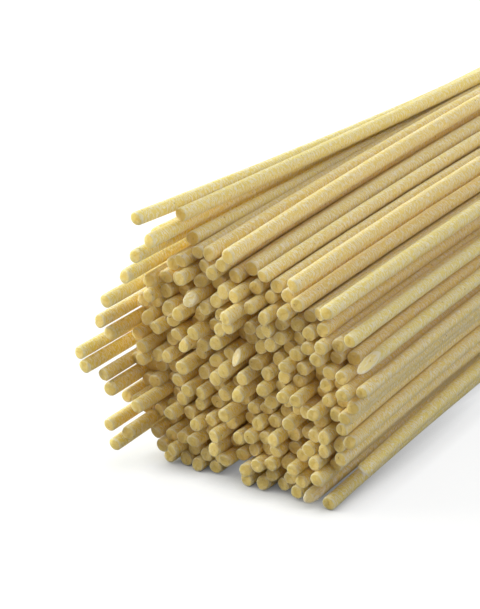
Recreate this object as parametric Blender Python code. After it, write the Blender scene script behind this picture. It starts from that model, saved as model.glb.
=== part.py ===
"""A bundle of dry spaghetti that lies on a table, a little splayed at its near ends.

Blender 4.5, metres, +Z up. The strands run along +X, from the near ends to the far ends. The origin
is under the middle of the bundle, on the table. Lengths in the code are in millimetres until the mesh
is made.

The strands are packed first, as discs in the cross-section at the near ends, where the bundle has
slumped on the table. Towards its waist it is narrower and rounder. Each strand is one many-sided
column from end to end. Columns that touch share their walls, so the whole bundle is one closed solid,
which has each strand's cut end at its own place and a ridge for each strand along the outside.
"""

import bmesh
import bpy
import numpy as np
from mathutils import Vector
from mathutils.geometry import delaunay_2d_cdt

MM = 0.001                      # metres in a millimetre

# ---- driving dimensions, in millimetres ----
STRAND_DIAMETER = 1.95          # thick, rough, bronze-cut spaghetti
ROOM = 2.1                      # how far apart neighbours lie, as the heap is loose
ROOM_SPREAD = 0.03              # each strand's own share of difference in room
STRAND_LENGTH = 255.0           # cut length of a strand
LENGTH_SPREAD = 1.0             # how much cut lengths differ
END_STAGGER = 1.35              # how far ends stand in front of or behind their neighbours
SPIRAL_STRANDS = 230            # settled strands, if those below the table are counted

# At the near ends the cross-section is an ellipse whose bottom is cut off by the table.
CENTRE = np.array([14.6, 15.7])         # y and z of the ellipse's centre
HALF = np.array([21.0, 19.4])           # its half width and half height
# At the waist it is a whole ellipse, lifted just off the table.
WAIST_CENTRE = np.array([14.6, 19.8])
WAIST_HALF = np.array([18.3, 19.2])
SETTLED_RIM = (0.86, 0.95)      # least and most share of the outline that settled strands reach
STRAY_KEEP = 0.15               # how much of a stray's distance outside the outline is left there
SPLAY_LENGTH = 75.0             # the ends splay out over this length
FAR_SPLAY = 0.8                 # how much the far ends splay, as a share of the near ends

# Strands that are placed by hand, most of them at the rim: (y, z, x) of the near end's centre.
PLACED = np.array([
    # strays on the top left shoulder
    (27.1, 37.9, -6.0), (24.8, 36.8, 1.0), (25.7, 34.7, -5.0), (28.1, 32.0, -5.0), (30.3, 28.4, -4.5),
    (27.4, 34.1, -1.0), (25.5, 29.9, 0.0), (23.6, 33.4, 2.0),
    # along the top
    (21.7, 32.2, 0.5), (19.6, 32.6, 0.0), (15.4, 33.6, -1.5), (13.3, 31.6, 1.0), (10.8, 31.3, 0.0),
    (8.9, 30.2, 0.5), (5.4, 31.6, -1.0),
    # down the right flank
    (-0.2, 29.2, -1.5), (1.9, 28.0, 0.0), (1.3, 25.9, 0.0), (-1.2, 24.3, 0.0), (-3.6, 25.9, -1.0),
    (-5.2, 22.5, 1.0), (-5.6, 19.0, -1.0), (-4.2, 16.5, -1.0), (-2.2, 12.6, -0.5), (-1.6, 10.1, 0.0),
    (-3.7, 5.9, 2.5),
    # strays splayed out on the left
    (33.2, 24.3, -5.0), (34.3, 21.1, -5.0), (33.4, 19.2, -4.0), (37.1, 16.1, -6.0), (36.3, 14.2, -6.0),
    (33.8, 13.2, -5.0), (32.7, 11.4, -5.0),
    # low on the left, just off the table
    (28.2, 9.9, -5.0), (32.2, 6.5, -6.0), (31.3, 3.8, -6.0), (29.7, 5.6, -5.0),
    # standing out from the middle of the face
    (13.4, 26.4, -5.0), (20.9, 26.5, -2.5), (14.1, 19.4, -1.5),
    # along the table
    (26.3, 1.1, 0.0), (23.9, 1.1, 0.5), (21.6, 1.0, 0.0), (18.9, 1.2, 0.5), (13.4, 1.0, 0.0),
    (10.7, 1.2, 0.0), (7.7, 1.6, 0.5), (5.2, 1.3, 0.0), (2.4, 1.9, 0.0), (0.0, 1.0, 0.0),
])
GAPS = np.array([(3.2, 30.9), (16.1, 1.6)])     # (y, z) of places at the rim that strands leave free

SEED = 7
SETTLE_STEPS = 160              # rounds of pushing strands apart
SAG = 0.012                     # how far a strand drops in each of the first rounds
END_STEP = 0.6                  # ends are set to this step, so that neighbours can share a level
STATIONS = (25.0, 50.0, 75.0, 180.0, 205.0, 230.0)       # where the long walls bend


def settle(points, radii, limits, free):
    """Push strands apart until each has its room, and let them sag. Each stays inside its limit, a
    share of the ellipse, and on the table."""
    half = HALF - ROOM / 2
    for step in range(SETTLE_STEPS):
        if step % 10 == 0:
            gaps = np.hypot(*(points[:, None] - points[None]).transpose(2, 0, 1))
            first, second = np.nonzero(np.triu(gaps < 1.8 * ROOM, 1))
            reach = radii[first] + radii[second]
        if step < 0.7 * SETTLE_STEPS:
            points[:, 1] -= SAG * free
        across = points[first] - points[second]
        distance = np.hypot(*across.T) + 1e-9
        push = across * (0.35 * np.maximum(reach - distance, 0) / distance)[:, None]
        for axis in (0, 1):
            gain = np.bincount(first, push[:, axis], len(points))
            gain -= np.bincount(second, push[:, axis], len(points))
            points[:, axis] += gain * free
        reached = np.hypot(*((points - CENTRE) / half).T)
        outside = (reached > limits) & free
        points[outside] = CENTRE + (points[outside] - CENTRE) * (limits / reached)[outside, None]
        points[:, 1] = np.maximum(points[:, 1], STRAND_DIAMETER / 2)
    return points


def pack_strands():
    """Centres of the near ends as (y, z), and the x of each strand's two ends.

    The strands of the mass start on a sunflower spiral, which fills the ellipse evenly, and settle
    round the strands that are placed by hand.
    """
    rng = np.random.default_rng(SEED)
    turn = np.pi * (3 - np.sqrt(5)) * np.arange(SPIRAL_STRANDS)
    distance = np.sqrt((np.arange(SPIRAL_STRANDS) + 0.5) / SPIRAL_STRANDS)
    spiral = CENTRE + HALF * (distance * np.stack([np.cos(turn), np.sin(turn)])).T
    spiral = spiral[spiral[:, 1] > 0]
    spiral += 0.25 * ROOM * rng.standard_normal(spiral.shape)
    free = np.arange(len(spiral) + len(PLACED) + len(GAPS)) < len(spiral)
    radii = ROOM / 2 * (1 + ROOM_SPREAD * rng.standard_normal(len(free)).clip(-2, 2))
    limits = rng.uniform(*SETTLED_RIM, len(free))
    centres = settle(np.concatenate([spiral, PLACED[:, :2], GAPS]), radii, limits, free)
    spiral, fixed = centres[free], centres[~free]
    nearest = np.hypot(*(spiral[:, None] - fixed[None]).transpose(2, 0, 1)).min(axis=1)
    spiral = spiral[nearest > 0.8 * ROOM]    # squeezed out by the strands placed by hand
    centres = np.concatenate([spiral, PLACED[:, :2]])
    near_x = END_STAGGER * rng.standard_normal(len(centres)).clip(-1.6, 2.2)
    near_x[len(spiral):] = PLACED[:, 2]
    far_x = near_x + STRAND_LENGTH + LENGTH_SPREAD * rng.standard_normal(len(centres))
    return centres, near_x, far_x


def surround(centres):
    """Points of air round the heap: beside the outer strands, and mirrored in the table below them."""
    air = [(y, -z) for y, z in centres if z < 1.5 * ROOM]
    for angle in np.arange(0, 2 * np.pi, np.pi / 6):
        beside = centres + ROOM * np.array([np.cos(angle), np.sin(angle)])
        reached = np.hypot(*((beside - CENTRE) / (HALF - ROOM / 2)).T)
        outside = (reached > 1) & (beside[:, 1] > 0)
        for point in beside[outside]:
            from_strands = np.hypot(*(centres - point).T).min()
            from_air = np.hypot(*(np.array(air) - point).T).min()
            if from_strands > 0.9 * ROOM and from_air > 0.6 * ROOM:
                air.append(tuple(point))
    return np.array(air)


def to_waist(points):
    """Where points of the near ends' cross-section are at the waist: the table's cut-off ellipse is
    stretched along each direction from its centre until it fills the waist's ellipse."""
    offset = points - CENTRE
    distance = np.hypot(*offset.T)
    direction = offset / distance[:, None]
    edge = 1 / np.hypot(*(direction / HALF).T)
    table = CENTRE[1] / np.maximum(-direction[:, 1], 1e-6)
    share = distance / np.minimum(edge, table)
    share = np.where(share > 1, 1 + (share - 1) * STRAY_KEEP, share)
    waist_edge = 1 / np.hypot(*(direction / WAIST_HALF).T)
    return WAIST_CENTRE + direction * (share * waist_edge)[:, None]


def splay(x):
    """How far the bundle is splayed at x, from 0 at the waist to 1 at the near ends."""
    from_ends = np.array([x, STRAND_LENGTH - x])
    shares = np.clip(1 - from_ends / SPLAY_LENGTH, 0, 1) ** 1.5
    return shares @ (1, FAR_SPLAY)


def build_columns(centres, near_x, far_x):
    """The closed mesh of all the columns, in millimetres."""
    count = len(centres)
    air = surround(centres)
    points = np.concatenate([centres, air])
    triangles = delaunay_2d_cdt([Vector(p) for p in points], [], [], 0, 1e-6)[2]

    # A corner is the middle of three neighbouring points. It belongs to their three cells.
    corners = []
    levels = []
    corner_right_of = {}
    for index, triangle in enumerate(triangles):
        y, z = points[list(triangle)].mean(axis=0)
        stands_on_table = points[list(triangle), 1].min() < 0
        corners.append((y, 0.0 if stands_on_table else z))
        strands = [k for k in triangle if k < count]
        levels.append(sorted({*near_x[strands], *far_x[strands], *STATIONS}))
        for k in range(3):
            corner_right_of[triangle[k - 1], triangle[k]] = index

    corners = np.array(corners)
    waist = to_waist(corners)
    mesh = bmesh.new()
    placed = {}

    def vertex(corner, x):
        if (corner, x) not in placed:
            place = waist[corner] + (corners[corner] - waist[corner]) * splay(x)
            placed[corner, x] = mesh.verts.new((x, *place))
        return placed[corner, x]

    def column_edge(corner, low, high):
        return [vertex(corner, x) for x in levels[corner] if low <= x <= high]

    def add_wall(start, end, low, high):
        cuts = [low, *(x for x in STATIONS if low < x < high), high]
        for bottom, top in zip(cuts, cuts[1:]):
            rising = column_edge(end, bottom, top)
            falling = column_edge(start, bottom, top)[::-1]
            mesh.faces.new(rising + falling)

    neighbours = {k: {} for k in range(count)}
    for (first, second), corner in corner_right_of.items():
        if first < count:
            neighbours[first][second] = corner
    for strand, around in neighbours.items():
        ring = []
        start = other = next(iter(around))
        while True:
            ring.append(around[other])
            other = next(k for k in triangles[around[other]] if k not in (strand, other))
            if other == start:
                break
        mesh.faces.new([vertex(corner, near_x[strand]) for corner in ring[::-1]])
        mesh.faces.new([vertex(corner, far_x[strand]) for corner in ring])
        for other, end in around.items():
            begin = corner_right_of[other, strand]
            if other >= count:
                add_wall(begin, end, near_x[strand], far_x[strand])
                continue
            if near_x[strand] < near_x[other]:
                add_wall(begin, end, near_x[strand], near_x[other])
            if far_x[strand] > far_x[other]:
                add_wall(begin, end, far_x[other], far_x[strand])
    return mesh


def pasta_material():
    """Dry durum wheat pasta: pale straw yellow, rough and matt."""
    material = bpy.data.materials.new("dry_pasta")
    material.use_nodes = True
    shader = material.node_tree.nodes["Principled BSDF"]
    shader.inputs["Base Color"].default_value = (0.72, 0.58, 0.27, 1)
    shader.inputs["Roughness"].default_value = 0.65
    return material


def main():
    for thing in list(bpy.data.objects):
        bpy.data.objects.remove(thing, do_unlink=True)
    bundle = bpy.data.collections.new("spaghetti_bundle")
    bpy.context.scene.collection.children.link(bundle)

    centres, near_x, far_x = pack_strands()
    near_x = END_STEP * np.floor(near_x / END_STEP)
    far_x = END_STEP * np.ceil(far_x / END_STEP)
    solid = build_columns(centres, near_x, far_x)

    places = np.array([vert.co for vert in solid.verts])
    middle = (places.min(axis=0) + places.max(axis=0)) / 2
    bmesh.ops.translate(solid, verts=solid.verts, vec=(-middle[0], -middle[1], 0))
    bmesh.ops.scale(solid, verts=solid.verts, vec=(MM, MM, MM))
    mesh = bpy.data.meshes.new("spaghetti_bundle")
    solid.to_mesh(mesh)
    solid.free()
    mesh.shade_smooth()
    mesh.set_sharp_from_angle(angle=np.radians(30))
    mesh.materials.append(pasta_material())
    bundle.objects.link(bpy.data.objects.new("spaghetti_bundle", mesh))


main()
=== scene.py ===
# %% [markdown]
# # A bundle of dry spaghetti
#
# Some two hundred and sixty strands of thick, rough spaghetti lie on a table. They are drawn in at the
# waist and loose at both ends, so that the cut ends stand at uneven places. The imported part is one
# solid out to the uneven outline. Here it is replaced by the strands themselves, each a round tube of
# true size, over a smaller core.

import bpy
import numpy as np
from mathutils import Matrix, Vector


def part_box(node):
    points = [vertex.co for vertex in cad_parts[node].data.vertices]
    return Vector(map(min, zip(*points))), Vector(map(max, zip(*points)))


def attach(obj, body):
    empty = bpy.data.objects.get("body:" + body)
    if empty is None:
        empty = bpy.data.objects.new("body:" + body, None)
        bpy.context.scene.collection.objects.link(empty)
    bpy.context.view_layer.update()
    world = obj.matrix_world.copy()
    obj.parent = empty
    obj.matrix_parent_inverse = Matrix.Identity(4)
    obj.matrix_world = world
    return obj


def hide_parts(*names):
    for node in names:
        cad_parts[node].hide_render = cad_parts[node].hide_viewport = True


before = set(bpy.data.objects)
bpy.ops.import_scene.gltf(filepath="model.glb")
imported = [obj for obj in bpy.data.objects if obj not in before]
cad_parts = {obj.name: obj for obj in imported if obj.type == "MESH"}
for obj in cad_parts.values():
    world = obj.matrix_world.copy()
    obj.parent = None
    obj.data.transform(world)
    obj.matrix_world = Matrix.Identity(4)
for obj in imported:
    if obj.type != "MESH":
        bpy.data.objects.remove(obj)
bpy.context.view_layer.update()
cad_low, cad_high = (np.array(corner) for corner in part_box("spaghetti_bundle"))
print("the part measures", np.round(1000 * (cad_high - cad_low), 1), "mm")

# %% [markdown]
# ## Camera, floor and light
#
# The bundle is seen from a little above, from in front of its near ends and to one side of them. The
# floor could be a box of white card, but a plain plane is enough. Food is often shown on a floor that
# is lit until it is pure white. A floor as bright as that would also light the pasta from below, so
# this one is grey and glows only where the camera sees it, which the Light Path node tells. The glow
# fades close to the strands, where a real floor would get less light, and leaves a soft shadow there.
#
# One wide lamp hangs above and behind, one lights the loose strands on the far side, and one fills the
# flank. Each is several times as wide as the bundle is long, so every strand is shaded softly. The room
# is dim and warm, because what light reaches the gaps has been thrown back by pasta many times. Ten
# diffuse bounces let it go that far, and a gamma a little over one lifts what is left of the shade.

# %% Camera
CAMERA_PLACE = Vector((-0.4307, -0.2120, 0.1781))
CAMERA_AIM = Vector((-0.1265, -0.0012, 0.0265))     # the heap of near ends
CAMERA_LENS = 177.3                                 # millimetres, a long lens
GAMMA = 1.12
GAP_BOUNCES = 10                                    # light goes back and forth in the gaps

camera = bpy.data.objects.new("camera", bpy.data.cameras.new("camera"))
camera.data.lens = CAMERA_LENS
camera.data.sensor_width = 36
camera.data.clip_start = 0.01
camera.data.clip_end = 20
camera.location = CAMERA_PLACE
camera.rotation_mode = "QUATERNION"
camera.rotation_quaternion = (CAMERA_AIM - CAMERA_PLACE).to_track_quat("-Z", "Y")
bpy.context.scene.collection.objects.link(camera)
bpy.context.scene.camera = camera
bpy.context.scene.view_settings.view_transform = "Standard"
bpy.context.scene.view_settings.gamma = GAMMA
bpy.context.scene.cycles.diffuse_bounces = GAP_BOUNCES
print("camera", round((CAMERA_AIM - CAMERA_PLACE).length, 3), "m from the near ends")


# %% A helper that links nodes by the names of their sockets
def add_node(tree, kind, values=(), **settings):
    """A new node of that kind. Settings are its own properties, and values are pairs of an input and
    either a constant or the output that feeds it."""
    node = tree.nodes.new(kind)
    for name, setting in settings.items():
        setattr(node, name, setting)
    for name, value in values:
        if isinstance(value, bpy.types.NodeSocket):
            tree.links.new(value, node.inputs[name])
        else:
            node.inputs[name].default_value = value
    return node


def new_material(name):
    """An empty node material with its Principled shader, as (material, node tree, shader)."""
    material = bpy.data.materials.new(name)
    material.use_nodes = True
    return material, material.node_tree, material.node_tree.nodes["Principled BSDF"]


# %% Floor
FLOOR_HALF = 6.0                # metres
FLOOR_WHITE = 0.30              # share of light that the floor throws back
FLOOR_GLOW = 0.82               # added where the camera sees the floor
GLOW_COLOR = (0.96, 0.98, 1.0, 1.0)
SHADOW_REACH = 0.0045           # the glow fades where something is nearer than this, in metres
SHADOW_RAYS = 16

floor_mesh = bpy.data.meshes.new("floor")
floor_mesh.from_pydata(
    [(FLOOR_HALF * x, FLOOR_HALF * y, 0) for x, y in ((-1, -1), (1, -1), (1, 1), (-1, 1))],
    [], [(0, 1, 2, 3)])
floor_material, tree, shader = new_material("floor_white")
shader.inputs["Base Color"].default_value = (FLOOR_WHITE, FLOOR_WHITE, FLOOR_WHITE, 1)
shader.inputs["Roughness"].default_value = 0.9
shader.inputs["Specular IOR Level"].default_value = 0.1
seen = add_node(tree, "ShaderNodeLightPath")
open_sky = add_node(tree, "ShaderNodeAmbientOcclusion", [("Distance", SHADOW_REACH)],
                    samples=SHADOW_RAYS)
glow = add_node(tree, "ShaderNodeMath", [(0, seen.outputs["Is Camera Ray"]), (1, FLOOR_GLOW)],
                operation="MULTIPLY")
glow = add_node(tree, "ShaderNodeMath", [(0, glow.outputs[0]), (1, open_sky.outputs["AO"])],
                operation="MULTIPLY")
shader.inputs["Emission Color"].default_value = GLOW_COLOR
tree.links.new(glow.outputs[0], shader.inputs["Emission Strength"])
floor_mesh.materials.append(floor_material)
floor = bpy.data.objects.new("floor", floor_mesh)
bpy.context.scene.collection.objects.link(floor)
print("floor", 2 * FLOOR_HALF, "m wide")

# %% Light: a dim warm room and three large soft lamps
ROOM_COLOR = (1.0, 0.88, 0.74)
ROOM_LIGHT = 0.26
LAMPS = (   # place and size in metres, power in watts, colour
    ("key_light", Vector((0.40, 0.30, 1.10)), 3.0, 8.9, (0.96, 1.0, 0.98)),
    ("side_light", Vector((-0.28, 0.88, 0.30)), 1.2, 22.0, (1.0, 1.0, 0.78)),
    ("fill_light", Vector((0.40, -0.85, 0.50)), 1.2, 6.3, (1.0, 1.0, 0.96)))

world = bpy.data.worlds.new("white_room")
bpy.context.scene.world = world
world.use_nodes = True
world.node_tree.nodes["Background"].inputs["Color"].default_value = (*ROOM_COLOR, 1)
world.node_tree.nodes["Background"].inputs["Strength"].default_value = ROOM_LIGHT

for name, place, size, power, color in LAMPS:
    lamp = bpy.data.objects.new(name, bpy.data.lights.new(name, "AREA"))
    lamp.data.shape = "SQUARE"
    lamp.data.size = size
    lamp.data.energy = power
    lamp.data.color = color
    lamp.location = place
    lamp.rotation_mode = "QUATERNION"
    lamp.rotation_quaternion = (-place).to_track_quat("-Z", "Y")
    bpy.context.scene.collection.objects.link(lamp)
    print(name, power, "W at", tuple(place))

# %% [markdown]
# ## Where the strands lie
#
# Strands that are tipped out of a pack slump on the table: the near ends fill an ellipse whose bottom
# is cut off by the table. Each strand is a disc there, and discs that overlap push each other apart
# until all of them have room. A physics simulation of long, thin, stiff rods would be slow and shaky,
# and this gives the same dense, uneven packing in a moment. It works in millimetres, with x along the
# strands from the near ends, y across and z up. The strands that show most are placed one by one.

# %% Sizes of the bundle, in millimetres
MM = 0.001
STRAND_DIAMETER = 1.95
ROOM = 2.1                      # how far apart neighbours lie, as the heap is loose
ROOM_SPREAD = 0.03              # how much that room differs between strands, as a share
STRAND_LENGTH = 255.0
LENGTH_SPREAD = 1.0
END_STAGGER = 1.35
SPIRAL_STRANDS = 230            # before the table and the placed strands take some away
SPIRAL_JITTER = 0.25            # as a share of the room
CENTRE = np.array([14.6, 15.7])         # of the near ends' ellipse, as y and z, and half its size
HALF = np.array([21.0, 19.4])
WAIST_CENTRE = np.array([14.6, 19.8])
WAIST_HALF = np.array([18.3, 19.2])
SETTLED_RIM = (0.86, 0.95)      # least and most share of the outline that settled strands reach
STRAY_KEEP = 0.15               # share of its distance from the rest that a stray keeps at the waist
SPLAY_LENGTH = 75.0             # from the ends to where the strands have all drawn in
FAR_SPLAY = 0.8                 # how much of the near ends' splay the far ends have

# %% Strands placed one by one: y and z of the near end, and its x, which is below 0 where it stands forward
PLACED = np.array([
    # strays on the top left shoulder
    (27.1, 37.9, -6.0), (24.8, 36.8, 1.0), (25.7, 34.7, -5.0), (28.1, 32.0, -5.0), (30.3, 28.4, -4.5),
    (27.4, 34.1, -1.0), (25.5, 29.9, 0.0), (23.6, 33.4, 2.0),
    # along the top
    (21.7, 32.2, 0.5), (19.6, 32.6, 0.0), (15.4, 33.6, -1.5), (13.3, 31.6, 1.0), (10.8, 31.3, 0.0),
    (8.9, 30.2, 0.5), (5.4, 31.6, -1.0),
    # down the right flank
    (-0.2, 29.2, -1.5), (1.9, 28.0, 0.0), (1.3, 25.9, 0.0), (-1.2, 24.3, 0.0), (-3.6, 25.9, -1.0),
    (-5.2, 22.5, 1.0), (-5.6, 19.0, -1.0), (-4.2, 16.5, -1.0), (-2.2, 12.6, -0.5), (-1.6, 10.1, 0.0),
    (-3.7, 5.9, 2.5),
    # strays splayed out on the left
    (33.2, 24.3, -5.0), (34.3, 21.1, -5.0), (33.4, 19.2, -4.0), (37.1, 16.1, -6.0), (36.3, 14.2, -6.0),
    (33.8, 13.2, -5.0), (32.7, 11.4, -5.0),
    # low on the left, just off the table
    (28.2, 9.9, -5.0), (32.2, 6.5, -6.0), (31.3, 3.8, -6.0), (29.7, 5.6, -5.0),
    # standing out from the middle of the face
    (13.4, 26.4, -5.0), (20.9, 26.5, -2.5), (14.1, 19.4, -1.5),
    # along the table
    (26.3, 1.1, 0.0), (23.9, 1.1, 0.5), (21.6, 1.0, 0.0), (18.9, 1.2, 0.5), (13.4, 1.0, 0.0),
    (10.7, 1.2, 0.0), (7.7, 1.6, 0.5), (5.2, 1.3, 0.0), (2.4, 1.9, 0.0), (0.0, 1.0, 0.0),
])
GAPS = np.array([(3.2, 30.9), (16.1, 1.6)])     # places that are kept free of strands, as y and z
print(len(PLACED), "strands placed by hand")


# %% Push the discs apart
SETTLE_STEPS = 160              # for the near ends
SAG = 0.012                     # how far the free discs sink in one of those steps
LAST_STEPS = 60                 # once the spare places have gone
WAIST_STEPS = 80
SINKING_SHARE = 0.7             # share of the steps in which they sink
NEIGHBOUR_STEPS = 10            # steps between two searches for neighbours
NEIGHBOUR_REACH = 1.8           # how far off a neighbour may be, in rooms
PUSH_SHARE = 0.35               # share of an overlap by which each of the two discs moves in a step


def settle(points, radii, limits, free, centre, half, steps, sag):
    """In each step, every pair of discs nearer than the sum of their radii moves apart by a share of
    the overlap. Only free discs move, and at first they sink by sag as well. Discs past their limit,
    a share of the ellipse, go back to it, and none sinks into the table."""
    inner = half - ROOM / 2
    for step in range(steps):
        if step % NEIGHBOUR_STEPS == 0:
            gaps = np.hypot(*(points[:, None] - points[None]).transpose(2, 0, 1))
            first, second = np.nonzero(np.triu(gaps < NEIGHBOUR_REACH * ROOM, 1))
            reach = radii[first] + radii[second]
        if step < SINKING_SHARE * steps:
            points[:, 1] -= sag * free
        across = points[first] - points[second]
        distance = np.hypot(*across.T) + 1e-9
        push = across * (PUSH_SHARE * np.maximum(reach - distance, 0) / distance)[:, None]
        for axis in (0, 1):
            gain = np.bincount(first, push[:, axis], len(points))
            gain -= np.bincount(second, push[:, axis], len(points))
            points[:, axis] += gain * free
        reached = np.hypot(*((points - centre) / inner).T)
        outside = (reached > limits) & free
        points[outside] = centre + (points[outside] - centre) * (limits / reached)[outside, None]
        points[:, 1] = np.maximum(points[:, 1], STRAND_DIAMETER / 2)
    return points


# %% Settle the near ends
# A spiral that turns by the golden angle fills the ellipse evenly with places to start from.
rng = np.random.default_rng(7)
turn = np.pi * (3 - np.sqrt(5)) * np.arange(SPIRAL_STRANDS)
distance = np.sqrt((np.arange(SPIRAL_STRANDS) + 0.5) / SPIRAL_STRANDS)
spiral = CENTRE + HALF * (distance * np.stack([np.cos(turn), np.sin(turn)])).T
spiral = spiral[spiral[:, 1] > 0]
spiral += SPIRAL_JITTER * ROOM * rng.standard_normal(spiral.shape)
free = np.arange(len(spiral) + len(PLACED) + len(GAPS)) < len(spiral)
room = ROOM / 2 * (1 + ROOM_SPREAD * rng.standard_normal(len(free)).clip(-2, 2))
limits = rng.uniform(*SETTLED_RIM, len(free))
near = settle(np.concatenate([spiral, PLACED[:, :2], GAPS]), room, limits, free, CENTRE, HALF,
              SETTLE_STEPS, SAG)
spiral, fixed = near[free], near[~free]
nearest = np.hypot(*(spiral[:, None] - fixed[None]).transpose(2, 0, 1)).min(axis=1)
roomy = nearest > 0.8 * ROOM    # spiral strands that a placed strand or a gap leaves no room go
spiral = spiral[roomy]
near = np.concatenate([spiral, PLACED[:, :2]])
room = np.concatenate([room[free][roomy], room[~free][:len(PLACED)]])
near_x = END_STAGGER * rng.standard_normal(len(near)).clip(-1.6, 2.2)
near_x[len(spiral):] = PLACED[:, 2]
far_x = near_x + STRAND_LENGTH + LENGTH_SPREAD * rng.standard_normal(len(near))
count = len(near)
radii = room * STRAND_DIAMETER / ROOM
near = settle(near, radii, np.ones(count), np.arange(count) < len(spiral), CENTRE, HALF,
              LAST_STEPS, 0.0)
print(count, "strands, from", near_x.min().round(1), "to", far_x.max().round(1), "mm")

# %% [markdown]
# ## The waist
#
# A hand or a band has drawn the bundle in, so its middle is a rounder, smaller ellipse that is lifted
# just off the table. Each strand keeps its place among its neighbours: the near ends' shape is
# stretched along each direction from its centre until it fills the waist's. Then the discs are pushed
# apart once more, so that no strand runs through another.


# %% Places at the waist
MOST_AT_WAIST = 1.05            # share of the waist's outline that a stray may reach there


def to_waist(points):
    """Distance from the centre as a share of the near ends' outline in that direction, times the
    distance of the waist's outline in the same direction."""
    offset = points - CENTRE
    distance = np.hypot(*offset.T)
    direction = offset / distance[:, None]
    edge = 1 / np.hypot(*(direction / HALF).T)
    table = CENTRE[1] / np.maximum(-direction[:, 1], 1e-6)
    share = distance / np.minimum(edge, table)
    share = np.where(share > 1, 1 + (share - 1) * STRAY_KEEP, share)
    waist_edge = 1 / np.hypot(*(direction / WAIST_HALF).T)
    return WAIST_CENTRE + direction * (share * waist_edge)[:, None]


waist = to_waist(near)
waist_limits = np.hypot(*((waist - WAIST_CENTRE) / (WAIST_HALF - ROOM / 2)).T)
waist = settle(waist, radii, waist_limits.clip(0, MOST_AT_WAIST), np.ones(count, bool),
               WAIST_CENTRE, WAIST_HALF, WAIST_STEPS, 0.0)
gaps = np.hypot(*(waist[:, None] - waist[None]).transpose(2, 0, 1))
gaps += 9 * np.eye(count)       # a strand isn't its own neighbour
print("nearest neighbours at the waist", gaps.min(axis=1).min().round(2), "mm apart")

# %% [markdown]
# ## One strand
#
# A strand is a thin round rod of dried dough, drawn through a bronze die and cut with a blade. It could
# be a curve with a round bevel, but then every strand would have the same flat end. Here a strand is a
# profile carried along a path: rings of points round the path, each with its own size and its own
# place along it. The last rings close the strand with a rounded rim and a shallow hollow, and a slant
# or a chip at some of the ends.

# %% The profile of a strand, from its near end to its far end
# Each ring has a share of the radius, how far it lies behind the rim, in millimetres, and how much of
# the hollow it takes.
END_RINGS = np.array([(0.11, 0.0, 1.0), (0.50, 0.0, 0.55), (0.80, 0.0, 0.05), (0.94, 0.03, 0.0),
                      (1.0, 0.16, 0.0)])
END_INSET = 0.2                 # both ends are drawn back by this, so that no slant leaves the box
SLANT_DEPTH = 4.0               # how far into the strand a slanted cut is felt
SPLAY_POWER = 1.5               # above 1, so that the splay runs out smoothly at the waist
SWELLS = ((0.010, 3.1), (0.008, 1.3))   # share of the radius, and millimetres for each radian of a wave
RIM_WOBBLE = 0.03
CHIP_EDGE = 0.45                # cosine of half the angle of a chip, about a third of the way round
CHIP_INSIDE = 0.8               # share of the radius inside which no chip reaches
# Places of the rings between the ends, close together where the strand bends
OUTER_STATIONS = np.array([0.5, 2, 4.5, 7, 9.5, 12, 15, 18, 21, 25, 29, 34, 40, 47, 55, 64, 78, 100, 127.5,
                           155, 177, 191, 202, 211, 219, 226, 233, 239, 244, 249, 253, 254.5])
INNER_STATIONS = np.array([0.5, 3, 8, 14, 22, 32, 45, 60, 78, 127.5, 177, 195, 210, 223, 235, 245, 252,
                           254.5])


def splay(x, start, end):
    """1 at the strand's own near end, falling to 0 at the waist, plus the same at its far end."""
    from_near = np.clip((x - start) / (SPLAY_LENGTH - start), 0, 1)
    reach = end - (STRAND_LENGTH - SPLAY_LENGTH)
    from_far = np.clip((end - x) / reach, 0, 1)
    return (1 - from_near) ** SPLAY_POWER + FAR_SPLAY * (1 - from_far) ** SPLAY_POWER


def unit(vectors):
    """Each vector divided by its own length."""
    return vectors / np.linalg.norm(vectors, axis=-1, keepdims=True)


print(len(END_RINGS), "rings at each end,", len(OUTER_STATIONS), "or", len(INNER_STATIONS), "between")

# %% Every strand's own nature: its tint, the tilt of its cuts, its hollows, chips and bow
SLANT_SPREAD = 0.13             # slope of a usual cut
HOLLOWS = (0.02, 0.16)          # least and most depth, in millimetres
CHIPPED_SHARE = 0.25            # share of the ends that are chipped
CHIPS = (0.3, 0.9)              # least and most steepness of a chip
MOST_OVAL = 0.035               # as a share of the radius
BOW = 0.12                      # how far a strand bows out of line, in millimetres
nature = np.random.default_rng(21)
tint = nature.uniform(0, 1, count)
slant = SLANT_SPREAD * nature.standard_normal((2, count, 2))
hollow = nature.uniform(*HOLLOWS, (2, count))
chipped = nature.uniform(0, 1, (2, count)) < CHIPPED_SHARE
chip = np.where(chipped, nature.uniform(*CHIPS, (2, count)), 0.0)
chip_side = nature.uniform(0, 2 * np.pi, (2, count))
oval = nature.uniform(0.0, MOST_OVAL, count)
oval_side = nature.uniform(0, np.pi, count)
bow = BOW * nature.standard_normal((2, count))
print("chipped near ends", int(chipped[0].sum()), "of", count)

# %% A few strands were broken rather than cut: their near ends are slanted to a point
BROKEN = {  # (y, z) of the near end: slant in y and z
    (-5.2, 22.5): (-0.3, 2.4),
    (20.9, 26.5): (-0.3, 0.7),
    (14.1, 19.4): (0.9, 0.9),
    (2.4, 1.9): (-0.9, 1.4),
    (-3.7, 5.9): (0.7, -1.0),
}
broken = np.zeros(count)        # 1 for a broken strand, whose cut is dusty and pale
for (y, z), tilt in BROKEN.items():
    found = np.hypot(*(near - (y, z)).T).argmin()
    slant[0, found] = tilt
    broken[found] = 1
print(len(BROKEN), "broken ends")


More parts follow.
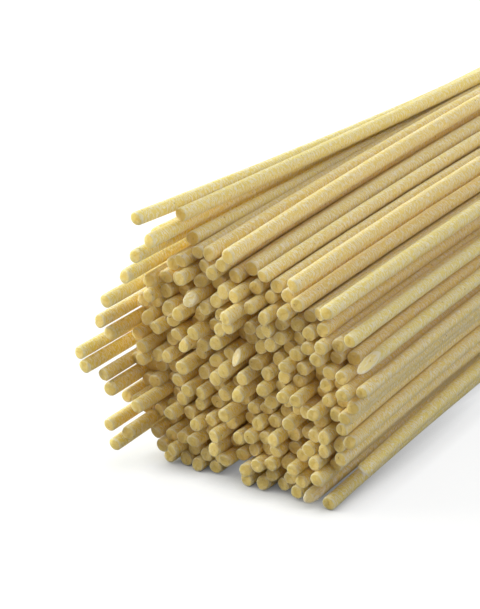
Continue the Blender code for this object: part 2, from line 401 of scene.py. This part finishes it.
# %% The points of some strands
def strand_points(chosen, stations, sides):
    """Points of the chosen strands, as an array [strand, ring, side, xyz], in millimetres.

    A ring's centre is on the path, waist + (near end - waist) * splay. Round it, point k is
    radius * (cos of its angle * across + sin of its angle * up), where across and up are square to
    the path. The radius swells and shrinks by about one part in a hundred along the strand, and is a
    little oval."""
    rim = END_RINGS[:, 1]
    own_length = (far_x - near_x)[chosen]
    along = np.concatenate([rim, stations / STRAND_LENGTH, rim[::-1]])[None].repeat(len(chosen), 0)
    rings = len(rim)
    along[:, rings:-rings] *= own_length[:, None]
    along[:, -rings:] = own_length[:, None] - along[:, -rings:]
    x = near_x[chosen, None] + END_INSET + along * (1 - 2 * END_INSET / own_length[:, None])

    share = splay(x, near_x[chosen, None], far_x[chosen, None])[..., None]
    path = waist[chosen, None] + (near - waist)[chosen, None] * share
    middle = np.sin(np.pi * (along / own_length[:, None])) ** 2
    path = path + middle[..., None] * bow.T[chosen, None]
    centre = np.concatenate([x[..., None], path], axis=-1)
    forward = unit(np.gradient(centre[:, rings:-rings], axis=1))
    forward = np.concatenate([forward[:, :1].repeat(rings, 1), forward,
                              forward[:, -1:].repeat(rings, 1)], axis=1)
    # the short end rings go straight on along the strand
    for end, inside in ((slice(0, rings), rings), (slice(-rings, None), -rings - 1)):
        step = x[:, end] - x[:, inside, None]
        centre[:, end] = centre[:, inside, None] + forward[:, inside, None] * step[..., None]
    across = unit(np.cross((0.0, 0.0, 1.0), forward))
    up = np.cross(forward, across)

    angle = 2 * np.pi * np.arange(sides) / sides
    size = np.concatenate([END_RINGS[:, 0], np.ones(len(stations)), END_RINGS[::-1, 0]])
    (slow, slow_wave), (quick, quick_wave) = SWELLS
    swell = 1 + slow * np.sin(along / slow_wave + 9 * tint[chosen, None])
    swell = swell + quick * np.sin(along / quick_wave)
    round_ring = 1 + oval[chosen, None] * np.cos(2 * (angle - oval_side[chosen, None]))
    radius = (radii[chosen, None] * size * swell)[..., None] * round_ring[:, None]
    local = np.stack([radius * np.cos(angle), radius * np.sin(angle)], axis=-1)
    points = (centre[:, :, None] + local[..., :1] * across[:, :, None]
              + local[..., 1:] * up[:, :, None])

    # the slant, hollow and chip of both ends are shifts along the strand
    for end, order, sign in ((0, slice(0, rings), 1), (1, slice(None, -rings - 1, -1), -1)):
        tilt = (local * slant[end][chosen, None, None]).sum(-1)
        depth = along if end == 0 else own_length[:, None] - along
        fade = np.clip(1 - depth / SLANT_DEPTH, 0, 1)[..., None]
        points[..., 0] += sign * tilt * fade
        dish = (hollow[end][chosen, None] * END_RINGS[:, 2])[..., None]
        bite = np.maximum(np.cos(angle - chip_side[end][chosen, None]) - CHIP_EDGE, 0)
        bitten = chip[end][chosen, None] * (END_RINGS[:, 0] > CHIP_INSIDE)
        bite = bitten[..., None] * bite[:, None]
        wobble = RIM_WOBBLE * np.sin(2 * angle + chip_side[end][chosen, None])[:, None]
        points[:, order, :, 0] += sign * (dish + bite + wobble)
    return points, along, local


# %% How closely the strands crowd each other
CREVICE_WIDTH = 0.9             # millimetres from skin to skin, past which a strand stands free
REACH_MARGIN = 0.5              # past its end, up to which a strand still counts as a neighbour


# This crowding is the mask for the amber painted shade in the gaps between strands.
def crowding(points, chosen):
    """How closely the other strands crowd round each point: 1 where another strand touches it, falling
    as a square to 0 where the nearest skin is CREVICE_WIDTH away. It goes ring by ring along the
    strands, and a strand that starts or ends elsewhere does not count."""
    crowded = np.zeros(points.shape[:3])
    other = np.arange(count) != np.array(chosen)[:, None]
    for ring in range(points.shape[1]):
        x = np.median(points[:, ring, :, 0])
        share = splay(x, near_x, far_x)[:, None]
        centres = waist + (near - waist) * share
        reaches = (near_x < x + REACH_MARGIN) & (far_x > x - REACH_MARGIN) & other
        section = points[:, ring, :, None, 1:] - centres
        gap = np.hypot(section[..., 0], section[..., 1]) - STRAND_DIAMETER / 2
        gap = np.where(reaches[:, None], gap, np.inf).min(axis=2)
        crowded[:, ring] = np.clip(1 - gap / CREVICE_WIDTH, 0, 1) ** 2
    return crowded


# %% Strands as one mesh
POLE_DIP = 0.15                 # how much deeper the middle of a cut lies than its first ring, as a share
PATTERN_STEP = 37.0             # millimetres between two strands' patterns, so that none repeats another
MARK_RADII = (0.0, 0.80, 0.94)  # shares of the radius at which the marks below are given
MARKS = (   # what marks the cut: its strength at those radii, and what a broken strand adds to it
    ("cut", (1.0, 0.9, 0.1), -0.8),
    # the rim's paleness is partly painted highlight where the edge catches light; on broken strands it is
    # dust
    ("rim", (0.0, 0.0, 0.5), 0.35))


def write_attribute(mesh, name, kind, field, values):
    """One value, or one vector, for each vertex."""
    attribute = mesh.attributes.new(name, kind, "POINT")
    attribute.data.foreach_set(field, np.ascontiguousarray(values, dtype=np.float32).ravel())


def build_strands(name, chosen, stations, sides):
    """A closed mesh of the chosen strands. Quads join each ring to the next, and triangles join the
    first and last rings to a point in the middle of the cut."""
    points, along, local = strand_points(chosen, stations, sides)
    crowded = crowding(points, chosen)
    strands, rings = points.shape[:2]
    poles = points[:, [0, -1]].mean(axis=2)
    poles[..., 0] += POLE_DIP * np.stack([hollow[0][chosen], -hollow[1][chosen]], axis=1)
    places = np.concatenate([points.reshape(-1, 3), poles.reshape(-1, 3)])

    ring_start = np.arange(strands * rings).reshape(strands, rings)[:, :-1, None] * sides
    here, after = np.arange(sides), np.roll(np.arange(sides), -1)
    quads = np.stack([ring_start + here, ring_start + after,
                      ring_start + sides + after, ring_start + sides + here], axis=-1).reshape(-1, 4)
    first = np.arange(strands)[:, None] * rings * sides
    last = first + (rings - 1) * sides
    pole = strands * rings * sides + 2 * np.arange(strands)[:, None]
    near_fan = np.stack([first + after, first + here, pole + 0 * here], axis=-1).reshape(-1, 3)
    far_fan = np.stack([last + here, last + after, pole + 1 + 0 * here], axis=-1).reshape(-1, 3)
    corners = np.concatenate([quads.ravel(), near_fan.ravel(), far_fan.ravel()])
    sizes = np.concatenate([np.full(len(quads), 4), np.full(len(near_fan) + len(far_fan), 3)])

    mesh = bpy.data.meshes.new(name)
    mesh.vertices.add(len(places))
    mesh.vertices.foreach_set("co", (places * MM + shift).ravel())
    mesh.loops.add(len(corners))
    mesh.loops.foreach_set("vertex_index", corners)
    mesh.polygons.add(len(sizes))
    mesh.polygons.foreach_set("loop_start", np.concatenate([[0], np.cumsum(sizes)[:-1]]))
    mesh.update(calc_edges=True)
    mesh.validate()
    mesh.shade_smooth()

    # what the materials read: a place on the strand, its tint, and how deep inside the cut it is
    lengthwise = np.broadcast_to(along[:, :, None, None], points.shape[:3] + (1,))
    strand_place = np.concatenate([lengthwise, local], axis=-1)
    strand_place = strand_place + PATTERN_STEP * np.array(chosen)[:, None, None, None]
    pole_place = strand_place[:, [0, -1]].mean(axis=2)
    write_attribute(mesh, "strand_place", "FLOAT_VECTOR", "vector",
                    np.concatenate([strand_place.reshape(-1, 3), pole_place.reshape(-1, 3)]))
    dusty = broken[chosen, None]
    for mark, strengths, when_broken in MARKS:
        inside = np.interp(END_RINGS[:, 0], MARK_RADII, strengths)
        inside = np.concatenate([inside, np.zeros(rings - 2 * len(inside)), inside[::-1]])
        marked = inside + dusty * when_broken * (np.arange(rings) < len(END_RINGS))
        marked = np.broadcast_to(marked[..., None], points.shape[:3]).clip(0, 1)
        poles_marked = strengths[0] + dusty * when_broken * np.array([1, 0])
        write_attribute(mesh, mark, "FLOAT", "value",
                        np.concatenate([marked.ravel(), poles_marked.ravel()]))
    # crevice: the mask of the amber painted shade
    write_attribute(mesh, "crevice", "FLOAT", "value",
                    np.concatenate([crowded.ravel(), np.zeros(2 * strands)]))
    tints = np.broadcast_to(tint[chosen, None, None], points.shape[:3])
    write_attribute(mesh, "tint", "FLOAT", "value",
                    np.concatenate([tints.ravel(), tint[chosen].repeat(2)]))
    piece = bpy.data.objects.new(name, mesh)
    bpy.context.scene.collection.objects.link(piece)
    print(name, strands, "strands,", int((sizes - 2).sum()), "triangles")
    return piece


# %% [markdown]
# ## Outer strands, strays and inner strands
#
# Strands on the outside show along their whole length, so they get round sections and many rings.
# Inner strands show only at their ends, and a few rings are enough between them. The strays stand
# clear of the rest and catch the most light.

# %% Move them into the part's box
INSET = 0.02                    # how far the strands stay inside the part's box, in millimetres
OUTER_SIDES, INNER_SIDES = 16, 14
every_point = strand_points(np.arange(count), INNER_STATIONS, OUTER_SIDES)[0]
least, most = every_point.min(axis=(0, 1, 2)), every_point.max(axis=(0, 1, 2))
low, high = cad_low / MM, cad_high / MM
shift = MM * np.array([low[0] + INSET - least[0], (low[1] + high[1] - least[1] - most[1]) / 2,
                       low[2] + INSET - least[2]])
print("room to spare", np.round(high - low - (most - least), 2), "mm, moved by",
      np.round(shift / MM, 2), "mm")

# %% Build them, as strays, outer strands and inner strands
STRAY_FROM = 1.04               # share of the near ends' outline past which a strand is a stray
OUTER_FROM = 0.76               # share of the waist's outline past which a strand shows all along
waist_reach = np.hypot(*((waist - WAIST_CENTRE) / (WAIST_HALF - ROOM / 2)).T)
near_reach = np.hypot(*((near - CENTRE) / (HALF - ROOM / 2)).T)
is_stray = near_reach > STRAY_FROM
is_outer = (waist_reach > OUTER_FROM) & ~is_stray
is_inner = ~is_stray & ~is_outer
stray_strands = build_strands("stray_strands", np.flatnonzero(is_stray), OUTER_STATIONS, OUTER_SIDES)
outer_strands = build_strands("outer_strands", np.flatnonzero(is_outer), OUTER_STATIONS, OUTER_SIDES)
inner_strands = build_strands("inner_strands", np.flatnonzero(is_inner), INNER_STATIONS, INNER_SIDES)

# %% [markdown]
# ## The core
#
# The strands hide everything between them. The middle of the bundle is filled by one smooth body in
# the pasta's golden colours, painted darker as painted shade, which stops light that would otherwise
# find its way through. A plain cylinder would come too near the last gaps at its ends. So it is a tube
# whose section is the waist's ellipse made smaller, rounded off well inside both ends.

# %% Core
CORE_SHARE = 0.72               # of the waist's ellipse
CORE_FROM, CORE_TO = 32.0, 222.0
CORE_RINGS, CORE_SIDES = 24, 48
CORE_BLUNTNESS = 12             # the higher, the flatter the rounded ends
SMALLEST_RING = 0.002           # as a share of the section's area
core_angle = np.linspace(0, 2 * np.pi, CORE_SIDES, endpoint=False)
core_along = np.linspace(0, 1, CORE_RINGS)
# its half-width falls towards both ends as the root of one minus a high power of the way from the middle
core_area = 1 - np.abs(2 * core_along - 1) ** CORE_BLUNTNESS
core_size = CORE_SHARE * np.sqrt(np.clip(core_area, SMALLEST_RING, 1))
core_x = CORE_FROM + (CORE_TO - CORE_FROM) * core_along
core_points = np.stack([
    core_x[:, None] + 0 * core_angle,
    WAIST_CENTRE[0] + WAIST_HALF[0] * core_size[:, None] * np.cos(core_angle),
    WAIST_CENTRE[1] + WAIST_HALF[1] * core_size[:, None] * np.sin(core_angle)], axis=-1)
start, side = np.meshgrid(CORE_SIDES * np.arange(CORE_RINGS - 1), np.arange(CORE_SIDES), indexing="ij")
beside = (side + 1) % CORE_SIDES
core_quads = np.stack([start + side, start + beside, start + CORE_SIDES + beside,
                       start + CORE_SIDES + side], axis=-1).reshape(-1, 4)
first_cap = list(range(CORE_SIDES))[::-1]
last_cap = list(range((CORE_RINGS - 1) * CORE_SIDES, CORE_RINGS * CORE_SIDES))
core_mesh = bpy.data.meshes.new("inner_core")
core_mesh.from_pydata((core_points.reshape(-1, 3) * MM + shift).tolist(), [],
                      core_quads.tolist() + [first_cap, last_cap])
core_mesh.shade_smooth()
inner_core = bpy.data.objects.new("inner_core", core_mesh)
bpy.context.scene.collection.objects.link(inner_core)
print("core", CORE_TO - CORE_FROM, "mm long")

# %% [markdown]
# ## The look of rough pasta
#
# Dough pushed through a bronze die tears slightly as it goes, and dries with fine wrinkles that run
# across the strand. They scatter light and hold flour, so their crests are painted pale over a deeper
# golden yellow: partly the flour's own colour and partly a painted highlight, where a ridge would catch
# light. Real ridges in the mesh would take millions of faces, so the wrinkles are a fine bump and these
# pale crests. The dough is a little clear too. Light that slips into a narrow gap goes through several
# strands before it comes out, and turns amber on the way, so the skin is painted towards amber where the
# next strand is near, as painted shade. A cut end is smooth and shows the yellow dough inside a paler
# rim, which is partly painted highlight too, and a broken end is dusty.
#
# Two node groups make this. They read a place on the strand in millimetres, which is stored on the
# mesh, so the pattern follows each strand.

# %% Node group: wrinkles across the strand
BEND_SCALE = 0.9                # waves of the coarser noise in a millimetre
CREST_FROM, CREST_TO = 0.505, 0.57      # heights between which a crest turns pale, with flour and painted highlight


def wrinkle_group():
    """Noise stretched as much further round the strand than along it as Width is to Pitch, both in
    millimetres, and bent by Bend times a second, coarser noise. Height rises from the furrows to the
    crests, and Crest is 1 only on the crests."""
    group = bpy.data.node_groups.new("strand_wrinkles", "ShaderNodeTree")
    for name, kind in (("Place", "NodeSocketVector"), ("Pitch", "NodeSocketFloat"),
                       ("Width", "NodeSocketFloat"), ("Bend", "NodeSocketFloat")):
        group.interface.new_socket(name, in_out="INPUT", socket_type=kind)
    group.interface.new_socket("Height", in_out="OUTPUT", socket_type="NodeSocketFloat")
    group.interface.new_socket("Crest", in_out="OUTPUT", socket_type="NodeSocketFloat")
    given = group.nodes.new("NodeGroupInput").outputs
    bend = add_node(group, "ShaderNodeTexNoise", [("Vector", given["Place"]), ("Scale", BEND_SCALE),
                                                  ("Detail", 1.0)])
    push = add_node(group, "ShaderNodeMath", [(0, bend.outputs["Fac"]), (1, given["Bend"])],
                    operation="MULTIPLY")
    push = add_node(group, "ShaderNodeCombineXYZ", [("X", push.outputs[0])])
    bent = add_node(group, "ShaderNodeVectorMath", [(0, given["Place"]), (1, push.outputs[0])],
                    operation="ADD")
    scale = add_node(group, "ShaderNodeCombineXYZ", [("X", given["Pitch"]), ("Y", given["Width"]),
                                                     ("Z", given["Width"])])
    scaled = add_node(group, "ShaderNodeVectorMath", [(0, bent.outputs[0]), (1, scale.outputs[0])],
                      operation="DIVIDE")
    coarse = add_node(group, "ShaderNodeTexNoise", [("Vector", scaled.outputs[0]), ("Scale", 1.0),
                                                    ("Detail", 2.0), ("Roughness", 0.6)])
    crest = add_node(group, "ShaderNodeMapRange", [("Value", coarse.outputs["Fac"]),
                                                   ("From Min", CREST_FROM), ("From Max", CREST_TO)],
                     interpolation_type="SMOOTHSTEP")
    out = group.nodes.new("NodeGroupOutput")
    group.links.new(coarse.outputs["Fac"], out.inputs["Height"])
    group.links.new(crest.outputs[0], out.inputs["Crest"])
    return group


wrinkles = wrinkle_group()
print("group", wrinkles.name)

# %% Node group: the colour of pasta
CLOUD_SCALE = 0.16              # waves in a millimetre of the slow clouds, the mottle and the specks
MOTTLE_SCALE = 2.2
SPECK_SCALE = 3.1
TINT_SHARE = 0.5                # of the tint and the clouds together
CREST_SHARE = 0.8               # how far a crest or a rim goes towards the pale flour and painted highlight
GAP_SHADE_SHARE = 0.3             # how far the skin goes towards the amber painted shade where another strand touches it
MOTTLE_FROM, MOTTLE_TO = 0.3, 0.75      # between them, the heart's colour falls off to its least
LEAST_HEART = 0.8
SPECK_FROM, SPECK_TO = 0.80, 0.84       # only the highest peaks of the noise are specks
SPECK_SHARE = 0.7


def pasta_colour_group():
    """Golden dough, mixed towards straw by the strand's tint and by slow clouds along it, towards pale
    flour and painted highlight on the crests and the rim, towards amber painted shade in the crevices,
    and towards the heart's yellow inside the cut. A few specks of bran are brown."""
    group = bpy.data.node_groups.new("pasta_colour", "ShaderNodeTree")
    for name, kind in (("Place", "NodeSocketVector"), ("Tint", "NodeSocketFloat"),
                       ("Crest", "NodeSocketFloat"), ("Cut", "NodeSocketFloat"),
                       ("Rim", "NodeSocketFloat"), ("Crevice", "NodeSocketFloat"),
                       ("Golden", "NodeSocketColor"), ("Straw", "NodeSocketColor"),
                       ("Flour_and_highlight", "NodeSocketColor"), ("Heart", "NodeSocketColor"),
                       ("Bran", "NodeSocketColor"), ("Painted_gap_shade", "NodeSocketColor")):
        group.interface.new_socket(name, in_out="INPUT", socket_type=kind)
    group.interface.new_socket("Color", in_out="OUTPUT", socket_type="NodeSocketColor")
    given = group.nodes.new("NodeGroupInput").outputs

    def mixed(share, first, second):
        mix = add_node(group, "ShaderNodeMix", data_type="RGBA")
        group.links.new(share, mix.inputs[0])
        group.links.new(first, mix.inputs[6])
        group.links.new(second, mix.inputs[7])
        return mix.outputs[2]

    def worked_out(operation, first, second, **settings):
        math = add_node(group, "ShaderNodeMath", [(0, first), (1, second)], operation=operation,
                        **settings)
        return math.outputs[0]

    def noise(scale, detail):
        texture = add_node(group, "ShaderNodeTexNoise", [("Vector", given["Place"]), ("Scale", scale),
                                                         ("Detail", detail)])
        return texture.outputs["Fac"]

    tinted = worked_out("ADD", noise(CLOUD_SCALE, 2.0), given["Tint"])
    pale = worked_out("MULTIPLY", tinted, TINT_SHARE, use_clamp=True)
    skin = mixed(pale, given["Golden"], given["Straw"])
    # crests and rims: pale flour, partly painted highlight
    crest = worked_out("MAXIMUM", given["Crest"], given["Rim"])
    skin = mixed(worked_out("MULTIPLY", crest, CREST_SHARE), skin, given["Flour_and_highlight"])
    # painted shade: towards amber where the next strand is near, for light that has passed through strands
    skin = mixed(worked_out("MULTIPLY", given["Crevice"], GAP_SHADE_SHARE), skin, given["Painted_gap_shade"])
    heart = add_node(group, "ShaderNodeMapRange", [("Value", noise(MOTTLE_SCALE, 2.0)),
                                                   ("From Min", MOTTLE_FROM), ("From Max", MOTTLE_TO),
                                                   ("To Min", 1.0), ("To Max", LEAST_HEART)])
    heart = worked_out("MULTIPLY", heart.outputs[0], given["Cut"])
    skin = mixed(heart, skin, given["Heart"])
    speck = add_node(group, "ShaderNodeMapRange", [("Value", noise(SPECK_SCALE, 0.0)),
                                                   ("From Min", SPECK_FROM), ("From Max", SPECK_TO)])
    speck = worked_out("MULTIPLY", speck.outputs[0], SPECK_SHARE)
    out = group.nodes.new("NodeGroupOutput")
    group.links.new(mixed(speck, skin, given["Bran"]), out.inputs["Color"])
    return group


pasta_colour = pasta_colour_group()
print("group", pasta_colour.name)

# %% [markdown]
# ## The pasta's two materials
#
# Most strands share one material. The strays stand clear of the rest and are lit right through, so
# they have a copy of it whose colours are painted a little lighter, as painted light, and that lets
# more light inside. Red, green and blue go equally far inside, because the dough's own colour already
# makes what comes out yellow. A little sheen stands for the bloom of flour on the skin.

# %% Materials of the strands
GOLDEN = (0.890, 0.635, 0.145, 1)
STRAW = (0.905, 0.670, 0.195, 1)
# painted light: the strays' copy of the colours, painted a little lighter than the rest
LIT_STRAY_GOLDEN = (0.899, 0.670, 0.150, 1)
LIT_STRAY_STRAW = (0.912, 0.702, 0.194, 1)
# pale flour on the crests and rims, partly a painted highlight where they catch light
FLOUR_AND_HIGHLIGHT = (0.980, 0.880, 0.770, 1)
HEART = (0.850, 0.590, 0.170, 1)
BRAN = (0.400, 0.220, 0.080, 1)
# painted shade: the amber of light that has gone through other strands, painted into the gaps
PAINTED_GAP_SHADE = (0.940, 0.650, 0.130, 1)
WRINKLES = {"Pitch": 0.15, "Width": 0.6, "Bend": 0.7}       # millimetres
WRINKLE_DEPTH = 0.00025         # metres
ALL_COLOURS = (1.0, 1.0, 1.0)
SCATTER_REACH = 0.0030          # metres that light goes inside, the same for all colours
PASTA_FINISH = {"Roughness": 0.5, "Specular IOR Level": 0.5, "Sheen Weight": 0.2,
                "Sheen Roughness": 0.5, "Subsurface Radius": ALL_COLOURS,
                "Subsurface Scale": SCATTER_REACH}
SCATTERED, CLEAR_SCATTERED = 0.6, 0.8   # shares of the light that go inside


def pasta_material(name, golden, straw, scattered):
    """Rough pasta: the colour group, a bump from the wrinkles, and a share of light that goes inside."""
    material, tree, shader = new_material(name)
    place = add_node(tree, "ShaderNodeAttribute", attribute_name="strand_place").outputs["Vector"]
    rough = add_node(tree, "ShaderNodeGroup", [("Place", place), *WRINKLES.items()],
                     node_tree=wrinkles)
    colours = (("Golden", golden), ("Straw", straw), ("Flour_and_highlight", FLOUR_AND_HIGHLIGHT), ("Heart", HEART),
               ("Bran", BRAN), ("Painted_gap_shade", PAINTED_GAP_SHADE))
    marks = [(mark.capitalize(), add_node(tree, "ShaderNodeAttribute",
                                          attribute_name=mark).outputs["Fac"])
             for mark in ("tint", "cut", "rim", "crevice")]
    colour = add_node(tree, "ShaderNodeGroup",
                      [("Place", place), ("Crest", rough.outputs["Crest"]), *marks, *colours],
                      node_tree=pasta_colour)
    bump = add_node(tree, "ShaderNodeBump", [("Strength", 1.0), ("Distance", WRINKLE_DEPTH),
                                             ("Height", rough.outputs["Height"])])
    tree.links.new(colour.outputs["Color"], shader.inputs["Base Color"])
    tree.links.new(bump.outputs["Normal"], shader.inputs["Normal"])
    for socket, value in PASTA_FINISH.items():
        shader.inputs[socket].default_value = value
    shader.inputs["Subsurface Weight"].default_value = scattered
    return material


dry_pasta = pasta_material("rough_pasta", GOLDEN, STRAW, SCATTERED)
lit_stray_pasta = pasta_material("lit_stray_pasta", LIT_STRAY_GOLDEN, LIT_STRAY_STRAW, CLEAR_SCATTERED)
print("materials", dry_pasta.name, "and", lit_stray_pasta.name)

# %% Material of the core: the pasta's colours in the shade, clouded, with nothing that scatters
# painted shade: the pasta's colours darkened, as the middle of the bundle lies in shade
CORE_SHADE_DEEP = (0.70, 0.43, 0.13, 1)
CORE_SHADE_PALE = (0.80, 0.55, 0.20, 1)
CORE_CLOUDS = 300.0             # waves in a metre
CORE_ROUGHNESS = 0.8
core_material, tree, shader = new_material("pasta_core")
coordinates = add_node(tree, "ShaderNodeTexCoord")
clouds = add_node(tree, "ShaderNodeTexNoise", [("Vector", coordinates.outputs["Object"]),
                                               ("Scale", CORE_CLOUDS), ("Detail", 3.0)])
core_mix = add_node(tree, "ShaderNodeMix", [(0, clouds.outputs["Fac"]), (6, CORE_SHADE_DEEP), (7, CORE_SHADE_PALE)],
                    data_type="RGBA")
tree.links.new(core_mix.outputs[2], shader.inputs["Base Color"])
shader.inputs["Roughness"].default_value = CORE_ROUGHNESS
for piece, material in ((stray_strands, lit_stray_pasta), (outer_strands, dry_pasta),
                        (inner_strands, dry_pasta), (inner_core, core_material)):
    piece.data.materials.append(material)
    print(piece.name, "is", material.name)

# %% [markdown]
# ## The pieces and the imported part
#
# Nothing on a bundle of pasta moves by itself, so all four pieces ride on its one body. Together they
# replace the solid. The strands must not reach past the part that is picked up and stacked.

# %% Hand the pieces to the frame
for piece in (stray_strands, outer_strands, inner_strands, inner_core):
    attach(piece, "root")
    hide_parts("spaghetti_bundle")
